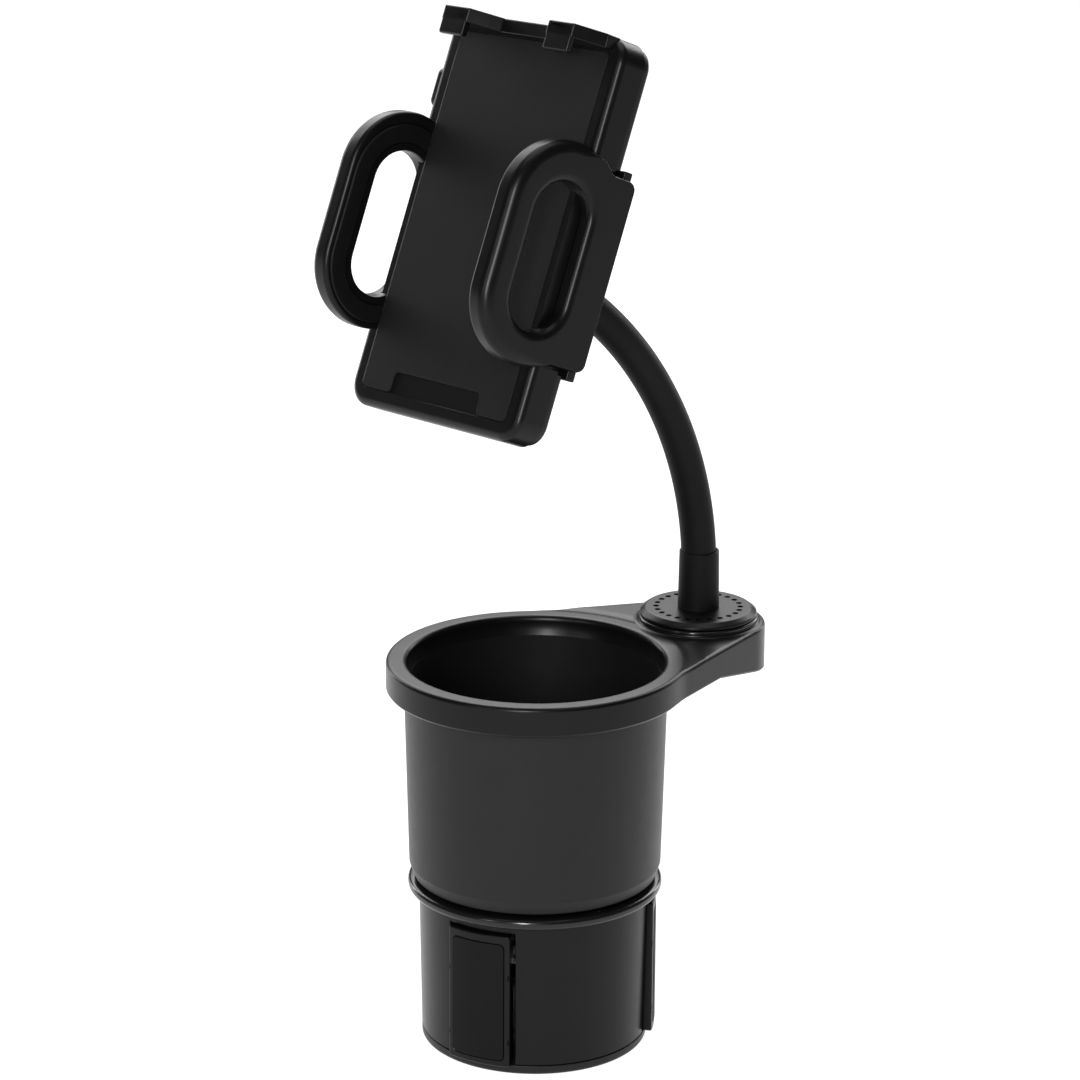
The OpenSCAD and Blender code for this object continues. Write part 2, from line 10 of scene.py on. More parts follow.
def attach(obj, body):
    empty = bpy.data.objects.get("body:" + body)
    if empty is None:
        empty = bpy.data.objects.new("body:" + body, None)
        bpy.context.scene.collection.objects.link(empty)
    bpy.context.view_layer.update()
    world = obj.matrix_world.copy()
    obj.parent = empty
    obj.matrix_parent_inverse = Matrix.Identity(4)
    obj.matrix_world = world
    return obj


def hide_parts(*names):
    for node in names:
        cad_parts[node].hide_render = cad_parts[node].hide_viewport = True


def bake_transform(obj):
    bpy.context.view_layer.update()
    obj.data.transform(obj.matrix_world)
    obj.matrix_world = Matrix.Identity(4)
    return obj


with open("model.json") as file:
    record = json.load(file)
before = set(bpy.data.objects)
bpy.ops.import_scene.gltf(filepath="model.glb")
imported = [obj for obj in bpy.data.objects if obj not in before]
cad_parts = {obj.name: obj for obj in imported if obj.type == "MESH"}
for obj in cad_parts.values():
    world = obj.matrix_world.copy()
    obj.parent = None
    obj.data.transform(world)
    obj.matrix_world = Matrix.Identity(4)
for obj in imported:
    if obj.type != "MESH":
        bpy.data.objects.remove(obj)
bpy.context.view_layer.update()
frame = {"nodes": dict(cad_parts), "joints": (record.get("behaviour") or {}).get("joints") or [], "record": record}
joints = {j["name"]: j for j in frame["joints"]}

# ---------------------------------------------------------------- sizes, in millimetres
MM = 0.001
# base: barrel, bottom cap and the three sliding shoes
BARREL_R, CAP_R, CAP_TOP, BARREL_TOP = 35.3, 34.5, 3.0, 48.0
CAP_SCREW_RING = 23.8
SHOE_R, SHOE_W, SHOE_LOW, SHOE_HIGH = 37.1, 21.0, 3.2, 45.7
SHOE_ANGLES = (-64.3, 55.7, 175.7)
# cup, rim and the arm that holds the swivel
CUP_LOW, CUP_FLOOR, SHELL_R, SHELL_TOP = 53.3, 55.9, 39.8, 115.6
MOUTH_R, RIM_R, RIM_TOP, RING_LOW = 39.0, 45.25, 121.4, 112.2
LOBE_R, ARM_SIDE, ARM_TOP, BOSS_R, BOSS_TOP, FRICTION_TOP = 20.7, 43.9, 121.4, 18.6, 122.2, 123.3
ARM_BORE_R, SLOPE_FROM, SLOPE = 6.05, 50.0, 12.4
# swivel disc, neck and ball
DISC_R, DISC_LOW, DISC_TOP, DISC_HOLES, HOLE_RING = 18.05, 123.6, 125.7, 24, 13.0
NECK_R, SLEEVE_IN, BEND_R, BEND_Z, BEND_ANGLE = 5.4, 4.4, 117.3, 136.3, 57.0
BOOT_TOP, BALL_BORE_R = 144.0, 8.85
# cradle body, measured from its face
FACE_OUT, FACE_UP = 24.5, 9.3
BODY_HALF, BODY_LOW, BODY_TOP, BODY_CORNER = 40.2, -60.0, 59.2, 7.5
BAY_X, BAY_LOW, BAY_TOP = 37.2, -36.6, 22.4
FRONT_T, BODY_T, SKIN = 9.2, 12.4, 2.2
PAD_HALF_W, PAD_HALF_H, NOTCH_HALF, NOTCH_TOP = 34.4, 54.5, 20.6, -48.1
# side arms, their slots, racks and the release button
ARM_IN, ARM_OUT, ARM_DEPTH = 37.6, 42.2, 25.8
LOOP_IN, LOOP_GAP, FLARE_IN = 34.2, 0.45, 41.0
LOOP_LOW, LOOP_TOP, LOOP_R = -38.4, 27.0, 19.8
ROOT_LOW, ROOT_TOP, ROOT_BACK = -35.6, 21.3, -17.0
SLOT_LOW, SLOT_TOP, SLOT_MID, SLOT_R = -28.4, 15.2, 6.0, 10.0
PINION_Y, BUTTON_Y, BUTTON_Z = -5.0, 37.1, -4.5
SCREW_SPOTS = ((31, 46), (-31, 46), (31, -49), (-31, -49))

# ---------------------------------------------------------------- places, from the frame
ROW = Matrix.Scale(MM, 4)
disc_axis = Vector(joints["neck_swivel"]["pos_m"])
ARM_REACH = disc_axis.y / MM
DISC = Matrix.Translation((disc_axis.x, disc_axis.y, 0)) @ ROW
ball = Vector(joints["ball_pan"]["pos_m"])
face_n = Vector(joints["cradle_roll"]["axis"])
face_x = Vector(joints["arm_right_slide"]["axis"])
face_y = face_n.cross(face_x)


def axes_matrix(x, y, z, origin):
    """Local millimetres to the row frame, from three axes and an origin."""
    m = Matrix((x, y, z)).transposed().to_4x4()
    return Matrix.Translation(origin) @ m @ ROW


BALL = axes_matrix(face_x, face_y, face_n, ball)
FACE = axes_matrix(face_x, face_y, face_n, ball + (face_n * FACE_OUT + face_y * FACE_UP) * MM)
# the arms and the button are drawn in (height, depth, outwards)
SIDEWAYS = Matrix(((0, 0, 1, 0), (1, 0, 0, 0), (0, 1, 0, 0), (0, 0, 0, 1)))
ARM_RIGHT = FACE @ SIDEWAYS
ARM_LEFT = FACE @ Matrix(((0, 0, -1, 0), (1, 0, 0, 0), (0, 1, 0, 0), (0, 0, 0, 1)))

# ---------------------------------------------------------------- camera, floor and light
TARGET_Z, ACROSS, UPWARD = 160.0, 0.983, -1.227
CAM_AZ, CAM_EL, CAM_ROLL, CAM_DIST, LENS = 53.4, 17.816, 0.339, 1340.1, 149.748


def make_camera():
    """A long lens that looks slightly down on the mount from its front right."""
    a, e, r = radians(CAM_AZ), radians(CAM_EL), radians(CAM_ROLL)
    back = Vector((sin(a) * cos(e), -cos(a) * cos(e), sin(e)))
    level = Vector((cos(a), sin(a), 0))
    upright = back.cross(level)
    right = level * cos(r) + upright * sin(r)
    up = upright * cos(r) - level * sin(r)
    aim = Vector((0, 0, TARGET_Z)) + level * ACROSS + upright * UPWARD
    data = bpy.data.cameras.new("camera")
    data.lens = LENS
    data.sensor_width = 36.0
    data.clip_end = 50.0
    cam = bpy.data.objects.new("camera", data)
    turn = Matrix((right, up, back)).transposed().to_4x4()
    cam.matrix_world = Matrix.Translation((aim + back * CAM_DIST) * MM) @ turn
    bpy.context.scene.collection.objects.link(cam)
    bpy.context.scene.camera = cam


def area_light(name, place, aim, size, power, tint=(1, 1, 1)):
    data = bpy.data.lights.new(name, "AREA")
    data.shape = "RECTANGLE"
    data.size, data.size_y = size
    data.energy = power
    data.color = tint
    lamp = bpy.data.objects.new(name, data)
    lamp.location = place
    lamp.rotation_euler = (Vector(aim) - Vector(place)).to_track_quat("-Z", "Y").to_euler()
    bpy.context.scene.collection.objects.link(lamp)


def make_studio():
    """A bright floor and soft panels round the mount, with little light from everywhere else."""
    world = bpy.data.worlds.new("studio")
    world.use_nodes = True
    world.node_tree.nodes["Background"].inputs["Color"].default_value = (1, 1, 1, 1)
    world.node_tree.nodes["Background"].inputs["Strength"].default_value = 0.05
    bpy.context.scene.world = world
    bpy.context.scene.view_settings.view_transform = "Standard"
    floor_mesh = bpy.data.meshes.new("floor")
    half = 12.0
    corners = [(-half, -half, 0), (half, -half, 0), (half, half, 0), (-half, half, 0)]
    floor_mesh.from_pydata(corners, [], [(0, 1, 2, 3)])
    floor = bpy.data.objects.new("floor", floor_mesh)
    bpy.context.scene.collection.objects.link(floor)
    mat = bpy.data.materials.new("pale_floor")
    mat.use_nodes = True
    shader = mat.node_tree.nodes["Principled BSDF"]
    shader.inputs["Base Color"].default_value = (0.3, 0.3, 0.3, 1)
    shader.inputs["Roughness"].default_value = 0.9
    shader.inputs["Specular IOR Level"].default_value = 0.1
    shader.inputs["Emission Color"].default_value = (1, 1, 1, 1)
    shader.inputs["Emission Strength"].default_value = 0.93
    floor_mesh.materials.append(mat)
    area_light("overhead", (-0.1, 0.1, 1.4), (0, 0, 0.15), (0.9, 0.9), 5)
    area_light("back_panel", (-0.85, 0.65, 0.95), (0, 0, 0.15), (1.5, 0.9), 18)
    area_light("left_strip", (-1.15, -0.15, 0.5), (0, 0, 0.15), (0.22, 1.0), 4)
    area_light("right_strip", (-0.25, 1.15, 0.5), (0, 0, 0.15), (0.22, 1.0), 4)
    area_light("front_strip", (0.25, -1.3, 0.75), (0, 0, 0.2), (0.14, 0.7), 2)
    area_light("key_strip", (0.83, -0.89, 0.68), (0, 0, 0.26), (0.1, 0.6), 12)


# ---------------------------------------------------------------- materials
def noise(nodes, links, vector, scale, detail, rough=0.55):
    n = nodes.new("ShaderNodeTexNoise")
    n.inputs["Scale"].default_value = scale
    n.inputs["Detail"].default_value = detail
    n.inputs["Roughness"].default_value = rough
    links.new(vector, n.inputs["Vector"])
    return n.outputs["Fac"]


def ramp_between(nodes, links, fac, low, high):
    """Maps the middle of a noise factor to a plain number between low and high."""
    m = nodes.new("ShaderNodeMapRange")
    m.inputs["From Min"].default_value = 0.2
    m.inputs["From Max"].default_value = 0.8
    m.inputs["To Min"].default_value = low
    m.inputs["To Max"].default_value = high
    links.new(fac, m.inputs["Value"])
    return m.outputs["Result"]


def colour_between(nodes, links, fac, dark, light):
    m = nodes.new("ShaderNodeMix")
    m.data_type = "RGBA"
    m.inputs["A"].default_value = (*dark, 1)
    m.inputs["B"].default_value = (*light, 1)
    links.new(fac, m.inputs["Factor"])
    return m.outputs["Result"]


def moulded(name, dark, light, rough, grain, depth, metallic=0.0, specular=0.5):
    """A moulded or machined surface: cloudy tone, uneven gloss and fine grain of a depth in millimetres."""
    mat = bpy.data.materials.new(name)
    mat.use_nodes = True
    nodes, links = mat.node_tree.nodes, mat.node_tree.links
    shader = nodes["Principled BSDF"]
    shader.inputs["Metallic"].default_value = metallic
    shader.inputs["Specular IOR Level"].default_value = specular
    place = nodes.new("ShaderNodeTexCoord").outputs["Object"]
    cloud = noise(nodes, links, place, 90.0, 6.0)
    tone = ramp_between(nodes, links, cloud, 0.0, 1.0)
    links.new(colour_between(nodes, links, tone, dark, light), shader.inputs["Base Color"])
    patch = noise(nodes, links, place, 260.0, 5.0)
    gloss = ramp_between(nodes, links, patch, rough - 0.025, rough + 0.03)
    links.new(gloss, shader.inputs["Roughness"])
    fine = noise(nodes, links, place, grain, 2.0, 0.6)
    bump = nodes.new("ShaderNodeBump")
    bump.inputs["Strength"].default_value = 0.35
    bump.inputs["Distance"].default_value = depth * MM
    links.new(fine, bump.inputs["Height"])
    links.new(bump.outputs["Normal"], shader.inputs["Normal"])
    return mat


MATERIALS = {
    "black_plastic": moulded("black_plastic", (0.0028, 0.0028, 0.0031), (0.0038, 0.0038, 0.0041), 0.31,
                             2600, 0.004, specular=0.19),
    "satin_plastic": moulded("satin_plastic", (0.0062, 0.0062, 0.0066), (0.0078, 0.0078, 0.0082), 0.42,
                             2200, 0.02, specular=0.26),
    "gloss_black": moulded("gloss_black", (0.006, 0.006, 0.0065), (0.008, 0.008, 0.0085), 0.2, 1800,
                           0.006, specular=0.38),
    "face_sheet": moulded("face_sheet", (0.0085, 0.0085, 0.0088), (0.0095, 0.0095, 0.0098), 0.5, 4200,
                          0.02, specular=0.11),
    "rubber": moulded("rubber", (0.003, 0.003, 0.0034), (0.0042, 0.0042, 0.0046), 0.55, 3000, 0.02,
                      specular=0.13),
    "steel": moulded("steel", (0.42, 0.43, 0.45), (0.6, 0.61, 0.63), 0.3, 900, 0.01, metallic=1.0),
    "nylon": moulded("nylon", (0.62, 0.60, 0.54), (0.74, 0.72, 0.66), 0.45, 1500, 0.02),
}


# ---------------------------------------------------------------- mesh helpers
def finish_mesh(name, bm, matrix, body, slot, replaced, blended=False):
    """Turns a bmesh drawn in local millimetres into a finished piece that rides on its body.
    A blended piece is not attached to a body here, and gets no weighted normals."""
    bmesh.ops.remove_doubles(bm, verts=bm.verts, dist=0.004)
    bmesh.ops.dissolve_degenerate(bm, edges=bm.edges, dist=0.002)
    bm.transform(matrix)
    bmesh.ops.recalc_face_normals(bm, faces=bm.faces)
    mesh = bpy.data.meshes.new(name)
    bm.to_mesh(mesh)
    bm.free()
    mesh.polygons.foreach_set("use_smooth", [True] * len(mesh.polygons))
    mesh.set_sharp_from_angle(angle=radians(32.0))
    mesh.materials.append(MATERIALS[slot])
    piece = bpy.data.objects.new(name, mesh)
    bpy.context.scene.collection.objects.link(piece)
    if not blended:
        mod = piece.modifiers.new("even_normals", "WEIGHTED_NORMAL")
        mod.keep_sharp = True
        mod.weight = 80
        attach(piece, body)
    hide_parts(*replaced)
    return piece


def arc(cx, cy, r, start, stop, hollow=False, step=7.5):
    """Samples (x, y, nx, ny) along an arc in degrees; n points out of the material."""
    k = max(1, ceil(abs(stop - start) / step))
    side = -1 if hollow else 1
    out = []
    for i in range(k + 1):
        a = radians(start + (stop - start) * i / k)
        out.append((cx + r * cos(a), cy + r * sin(a), side * cos(a), side * sin(a)))
    return out


def rounded_path(corners, step=12.0):
    """A closed counter-clockwise path through (x, y, radius) corners, as samples with outward normals."""
    out = []
    n = len(corners)
    for i in range(n):
        before, here, after = (Vector(corners[(i + k) % n][:2]) for k in (-1, 0, 1))
        a, b = (here - before).normalized(), (after - here).normalized()
        turn = atan2(a.x * b.y - a.y * b.x, a.dot(b))
        first = Vector((a.y, -a.x))
        r = corners[i][2]
        if abs(turn) < 1e-4 or r <= 0:
            last = Vector((b.y, -b.x))
            for nrm in ((first, last) if abs(turn) > 1e-4 else (first,)):
                out.append((here.x, here.y, nrm.x, nrm.y))
            continue
        start = here - a * (r * tan(abs(turn) / 2))
        side = 1 if turn > 0 else -1
        centre = start - first * (r * side)
        k = max(2, ceil(abs(turn) * 180 / pi / step))
        for j in range(k + 1):
            t = turn * j / k
            nrm = Vector((first.x * cos(t) - first.y * sin(t), first.x * sin(t) + first.y * cos(t)))
            p = centre + nrm * (r * side)
            out.append((p.x, p.y, nrm.x, nrm.y))
    return out


def rectangle(x0, x1, y0, y1, r):
    """A rectangle with rounded corners."""
    return rounded_path([(x0, y0, r), (x1, y0, r), (x1, y1, r), (x0, y1, r)])


def stadium(x0, x1, y, r, step=7.5):
    """A stadium along x with round ends of radius r, centred on y."""
    return arc(x1 - r, y, r, -90, 90, step=step) + arc(x0 + r, y, r, 90, 270, step=step)


def edge_round(inset, depth, k=5):
    """The steps of a rounded edge: (inset, height below the top) from the side up to the top face."""
    return [(inset * (1 - cos(pi / 2 * i / k)), depth * (1 - sin(pi / 2 * i / k))) for i in range(k + 1)]


def slab_profile(low, high, low_round=0.0, high_round=0.0, high_depth=None, k=5):
    """(inset, z) levels from the low cap to the high cap, with rounded edges."""
    levels = [(0, low)]
    if low_round:
        levels = [(inset, low + d) for inset, d in reversed(edge_round(low_round, low_round, k))]
    if high_round:
        depth = high_round if high_depth is None else high_depth
        levels += [(inset, high - d) for inset, d in edge_round(high_round, depth, k)]
    else:
        levels.append((0, high))
    return levels


def plain_inset(sample, inset):
    x, y, nx, ny = sample
    return x - nx * inset, y - ny * inset


def bridge(bm, one, two):
    """Quads between two closed rings of vertices."""
    n = len(one)
    for i in range(n):
        j = (i + 1) % n
        bm.faces.new((one[i], one[j], two[j], two[i]))


def add_levels(bm, path, profile, inset_rule=plain_inset, sign=1):
    """A wall round a path: a ring of vertices for each level, joined by quads."""
    rings = []
    for inset, z in profile:
        ring = []
        for s in path:
            x, y = inset_rule(s, inset * sign)
            ring.append(bm.verts.new((x, y, z)))
        rings.append(ring)
    for low, high in zip(rings, rings[1:]):
        bridge(bm, low, high)


def close_levels(bm):
    """Closes every open rim, one height at a time, so that a rim inside another stays a hole."""
    bmesh.ops.remove_doubles(bm, verts=bm.verts, dist=0.003)
    rims = {}
    for e in bm.edges:
        if len(e.link_faces) == 1:
            a, b = (round(v.co.z, 3) for v in e.verts)
            if a == b:
                rims.setdefault(a, []).append(e)
    for edges in rims.values():
        bmesh.ops.triangle_fill(bm, use_beauty=True, use_dissolve=False, edges=edges)


def moulding(path, profile, cuts=(), inset_rule=plain_inset):
    """A plate with an outline, rounded edges, through holes, and blind pockets in its high or low face.
    A cut is (path, profile), and its profile's first number is how far it widens."""
    bm = bmesh.new()
    add_levels(bm, path, profile, inset_rule)
    for cut_path, cut_profile in cuts:
        add_levels(bm, cut_path, cut_profile, sign=-1)
    close_levels(bm)
    return bm


def lathe(corners, turns=128, step=15.0, wobble=None):
    """A closed (r, z, radius) outline turned about z. wobble(angle, r, z) may change a point's radius."""
    path = rounded_path(corners, step)
    bm = bmesh.new()
    rings = []
    for i in range(turns):
        a = 2 * pi * i / turns
        ring = []
        for x, z, _, _ in path:
            r = max(x, 0)
            if wobble:
                r = wobble(a, r, z)
            ring.append(bm.verts.new((r * cos(a), r * sin(a), z)))
        rings.append(ring)
    m = len(path)
    for i in range(turns):
        one, two = rings[i], rings[(i + 1) % turns]
        for j in range(m):
            k = (j + 1) % m
            if path[j][0] < 1e-6 and path[k][0] < 1e-6:
                continue
            bm.faces.new((one[j], two[j], two[k], one[k]))
    return bm


def prism(low, high):
    """A closed solid between two matching outlines, each a list of (x, y, z)."""
    bm = bmesh.new()
    low = [bm.verts.new(p) for p in low]
    high = [bm.verts.new(p) for p in high]
    bm.faces.new(low)
    bm.faces.new(list(reversed(high)))
    for i in range(len(low)):
        j = (i + 1) % len(low)
        bm.faces.new((low[i], high[i], high[j], low[j]))
    return bm


def brick(x0, x1, y0, y1, z0, z1, round_by=0.0, segments=2):
    """A box between two corners, with rounded edges where round_by is given."""
    bm = bmesh.new()
    size = Vector((x1 - x0, y1 - y0, z1 - z0))
    centre = Vector((x0 + x1, y0 + y1, z0 + z1)) / 2
    bmesh.ops.create_cube(bm, size=1.0, matrix=Matrix.Translation(centre) @ Matrix.Diagonal((*size, 1)))
    if round_by:
        bmesh.ops.bevel(bm, geom=list(bm.edges), offset=round_by, segments=segments, profile=0.5,
                        affect="EDGES")
    return bm


def merge(target, *others):
    """Adds other bmeshes to target."""
    for other in others:
        mesh = bpy.data.meshes.new("join")
        other.to_mesh(mesh)
        other.free()
        target.from_mesh(mesh)
        bpy.data.meshes.remove(mesh)
    return target


def cut(bm, *cutters):
    """Takes closed bmeshes away from a closed bmesh with an exact boolean."""
    def as_object(source, name):
        bmesh.ops.remove_doubles(source, verts=source.verts, dist=0.004)
        bmesh.ops.recalc_face_normals(source, faces=source.faces)
        mesh = bpy.data.meshes.new(name)
        source.to_mesh(mesh)
        source.free()
        obj = bpy.data.objects.new(name, mesh)
        bpy.context.scene.collection.objects.link(obj)
        return obj

    base = as_object(bm, "base")
    tools = [as_object(c, "tool") for c in cutters]
    for tool in tools:
        mod = base.modifiers.new("cut", "BOOLEAN")
        mod.operation = "DIFFERENCE"
        mod.solver = "EXACT"
        mod.object = tool
    graph = bpy.context.evaluated_depsgraph_get()
    result = bmesh.new()
    result.from_mesh(base.evaluated_get(graph).to_mesh())
    for obj in [base, *tools]:
        bpy.data.objects.remove(obj)
    return result


def rod(r, z0, z1, x=0.0, y=0.0, sides=48):
    bm = bmesh.new()
    bmesh.ops.create_cone(bm, cap_ends=True, segments=sides, radius1=r, radius2=r, depth=z1 - z0,
                          matrix=Matrix.Translation((x, y, (z0 + z1) / 2)))
    return bm


def placed(bm, matrix):
    """Moves a bmesh, and returns it for use in a longer expression."""
    bm.transform(matrix)
    return bm


def about_z(degrees):
    return Matrix.Rotation(radians(degrees), 4, "Z")


def screw(r, z_top, z_seat, shaft_r, z_end, upward=True):
    """A pan-head screw with a cross recess and a thread, by the heights of its head's top, seat and tip."""
    s = 1 if upward else -1
    h = abs(z_top - z_seat)
    head = lathe([(0, 0, 0), (r, 0, 0.1), (r, h * 0.55, 0.35), (r * 0.55, h, 0.5), (0, h, 0)], 40)
    depth = h * 0.7
    bars = [brick(-r * 0.62, r * 0.62, -r * 0.13, r * 0.13, h - depth, h + 1),
            brick(-r * 0.13, r * 0.13, -r * 0.62, r * 0.62, h - depth, h + 1)]
    head = cut(head, *bars)
    head.transform(Matrix.Translation((0, 0, z_seat)) @ Matrix.Diagonal((1, 1, s, 1)))
    low, high = sorted((z_seat + s * 0.05, z_end))
    turns = max(3, int((high - low) / 0.8))
    thread = [(0, low, 0), (shaft_r, low, 0)]
    for k in range(turns):
        z = low + (high - low) * (k + 0.25) / turns
        thread += [(shaft_r, z, 0), (shaft_r * 0.86, z + (high - low) * 0.4 / turns, 0)]
    thread += [(shaft_r * 0.86, high, 0), (0, high, 0)]
    return merge(head, lathe(thread, 20))


# ---------------------------------------------------------------- base
def smooth(t):
    t = min(max(t, 0.0), 1.0)
    return t * t * (3 - 2 * t)


def make_barrel():
    """A tapered wall with three tall windows, drawn as a grid round the axis."""
    gap, thick, widest_step = 0.35, 2.4, 2.5
    window_top = SHOE_HIGH + gap
    reach = asin((SHOE_W / 2 + gap) / CAP_R) * 180 / pi
    windows = sorted(((centre - reach) % 360, (centre + reach) % 360) for centre in SHOE_ANGLES)
    angles, in_window = [], []
    for i, (start, stop) in enumerate(windows):
        following = windows[(i + 1) % 3][0]
        if following < stop:
            following += 360
        for lo, hi, open_here in ((start, stop, True), (stop, following, False)):
            k = ceil((hi - lo) / widest_step)
            for j in range(k):
                angles.append(lo + (hi - lo) * j / k)
                in_window.append(open_here)
    heights = [CAP_TOP + 0.25, 12, 22, 32, 40, window_top, window_top + 1, BARREL_TOP]
    top_row = heights.index(window_top)
    bm = bmesh.new()

    def radius(z):
        return CAP_R + (BARREL_R - CAP_R) * min((z - CAP_TOP) / (BARREL_TOP - 2 - CAP_TOP), 1)

    def grid(inset):
        return [[bm.verts.new(((radius(z) - inset) * cos(radians(a)),
                               (radius(z) - inset) * sin(radians(a)), z))
                 for z in heights] for a in angles]

    outer, inner = grid(0.0), grid(thick)
    n = len(angles)
    kept = {}
    for i in range(n):
        for j in range(len(heights) - 1):
            kept[i, j] = not (in_window[i] and j < top_row)
    for (i, j), keep in kept.items():
        if not keep:
            continue
        k = (i + 1) % n
        bm.faces.new((outer[i][j], outer[k][j], outer[k][j + 1], outer[i][j + 1]))
        bm.faces.new((inner[i][j], inner[i][j + 1], inner[k][j + 1], inner[k][j]))
        if not kept[(i - 1) % n, j]:
            bm.faces.new((outer[i][j], outer[i][j + 1], inner[i][j + 1], inner[i][j]))
        if not kept[(i + 1) % n, j]:
            bm.faces.new((outer[k][j + 1], outer[k][j], inner[k][j], inner[k][j + 1]))
        if j == 0 or not kept[i, j - 1]:
            bm.faces.new((outer[i][j], inner[i][j], inner[k][j], outer[k][j]))
        if j == len(heights) - 2:
            bm.faces.new((outer[i][j + 1], outer[k][j + 1], inner[k][j + 1], inner[i][j + 1]))
    bmesh.ops.recalc_face_normals(bm, faces=bm.faces)
    for v in [v for v in bm.verts if not v.link_faces]:
        bm.verts.remove(v)
    rims = [e for e in bm.edges if len(e.link_faces) == 2 and e.calc_face_angle(0) > radians(50)
            and sum(Vector((v.co.x, v.co.y)).length > radius(v.co.z) - 0.5 for v in e.verts) == 2]
    bmesh.ops.bevel(bm, geom=rims, offset=0.3, segments=3, profile=0.5, affect="EDGES", clamp_overlap=True)
    return finish_mesh("barrel", bm, ROW, "base", "black_plastic", ["base_barrel"])


def make_base():
    """The barrel, its bottom cap with screws and a ring groove, and the bead that holds the cup."""
    make_barrel()
    cap = lathe([(0, 0, 0), (CAP_R, 0, 1.3), (CAP_R, CAP_TOP - 0.02, 0.25), (CAP_R - 2.3, CAP_TOP - 0.02, 0),
                 (CAP_R - 2.6, CAP_TOP, 0), (0, CAP_TOP, 0)], 160)
    spots = [about_z(a + 60) @ Matrix.Translation((CAP_SCREW_RING, 0, 0)) for a in SHOE_ANGLES]
    wells = []
    for spot in spots:
        wells.append(placed(rod(3.3, -1, 1.9), spot))
        wells.append(placed(rod(1.4, 1.5, 4), spot))
    groove = lathe([(28.6, -1, 0), (29.4, -1, 0), (29.4, 0.35, 0.1), (28.6, 0.35, 0.1)], 120)
    finish_mesh("bottom_cap", cut(cap, *wells, groove), ROW, "base", "satin_plastic", ["base_cap"])
    lid = lathe([(8.05, 45.0, 0.2), (11, 45.0, 0.4), (11, 48.0, 0), (31.3, 48.0, 0), (31.3, 46.3, 0.2),
                 (32.8, 46.3, 0.2), (32.8, 48.0, 0), (36.2, 48.0, 0.3), (37.0, 48.62, 0.2),
                 (38.75, 48.9, 1.35), (38.75, 51.7, 1.35), (36.4, 52.0, 0.5), (35.9, 51.3, 0.3),
                 (8.05, 51.3, 0.2)], 192, 10)
    finish_mesh("top_bead", lid, ROW, "base", "gloss_black", ["base_lid"])
    screws = bmesh.new()
    for spot in spots:
        merge(screws, placed(screw(3.0, 0.4, 1.9, 1.2, 13.9, upward=False), spot))
    finish_mesh("cap_screws", screws, ROW, "base", "steel", ["base_screws"])


def wrap(bm, radius, longest=1.6):
    """Bends a plate drawn in (across, depth from the radius, height) round the z axis.
    Long edges are split first, so that the curve stays round."""
    for _ in range(4):
        long_edges = [e for e in bm.edges if abs(e.verts[0].co.x - e.verts[1].co.x) > longest]
        if not long_edges:
            break
        bmesh.ops.subdivide_edges(bm, edges=long_edges, cuts=1, use_grid_fill=False)
        bmesh.ops.triangulate(bm, faces=[f for f in bm.faces if len(f.verts) > 4])
    for v in bm.verts:
        a = v.co.x / radius
        r = radius + v.co.y
        v.co = Vector((r * cos(a), r * sin(a), v.co.z))
    return bm


def make_shoe(i):
    """A sliding shoe: framed plate with a recess for its pad, side stop notches, guide leg and cam pin."""
    name = "shoe_%d" % (i + 1)
    place = ROW @ about_z(SHOE_ANGLES[i])
    half, frame_w, plate_t = SHOE_W / 2, 1.7, 5.6
    # drawn in (across, height) with depth along z, then stood up
    to_wrap = Matrix(((1, 0, 0, 0), (0, 0, 1, 0), (0, 1, 0, 0), (0, 0, 0, 1)))
    recess = rectangle(-half + frame_w, half - frame_w, SHOE_LOW + 2, SHOE_HIGH - 2.6, 1.6)
    plate = moulding(rectangle(-half, half, SHOE_LOW, SHOE_HIGH, 0.8),
                     slab_profile(-plate_t, 0, 0.2, 0.55),
                     cuts=[(recess, [(0, -0.8), (0, -0.15), (0.15, 0)])])
    wrap(placed(plate, to_wrap), SHOE_R)
    notches = [brick(35.3, 36.2, side * half - 0.7, side * half + 0.7, z, z + 1.7)
               for side in (-1, 1) for z in (10.5, 31.5)]
    plate = cut(plate, *notches)
    leg = brick(16, 31.7, -4.5, 4.5, 35.3, 38.5, 0.3)
    pin = placed(lathe([(0, 38.3, 0), (1.5, 38.3, 0), (1.5, 41.9, 0.3), (0, 41.9, 0)], 32),
                 Matrix.Translation((18, 0, 0)))
    finish_mesh(name + "_body", merge(plate, leg, pin), place, name, "black_plastic", [name])
    clear = 0.15
    pad = moulding(rectangle(-half + frame_w + clear, half - frame_w - clear, SHOE_LOW + 2 + clear,
                             SHOE_HIGH - 2.6 - clear, 1.6 - clear),
                   slab_profile(-0.78, 0.13, 0, 0.3))
    wrap(placed(pad, to_wrap), SHOE_R)
    finish_mesh(name + "_pad", pad, place, name, "rubber", ["shoe_pad_%d" % (i + 1)])


# ---------------------------------------------------------------- cup, rim and arm
def make_cup():
    """The cup's thin wall and floor, and the screws that hold it to its hub."""
    wall = lathe([(0, CUP_LOW, 0), (37.0, CUP_LOW, 0.5), (38.35, 57.2, 1.2), (SHELL_R, RING_LOW, 0),
                  (SHELL_R, SHELL_TOP, 0.2), (38.1, SHELL_TOP, 0), (36.3, 59.5, 6.0),
                  (34.0, CUP_FLOOR, 1.2), (0, CUP_FLOOR, 0)], 192, 8)
    finish_mesh("cup_wall", wall, ROW, "cup", "satin_plastic", ["cup_shell"])
    screws = bmesh.new()
    for i in range(3):
        merge(screws, placed(screw(2.6, 57.3, CUP_FLOOR, 1.2, 51.9),
                             about_z(120 * i) @ Matrix.Translation((11, 0, 0))))
    finish_mesh("cup_screws", screws, ROW, "cup", "steel", ["hub_screws"])


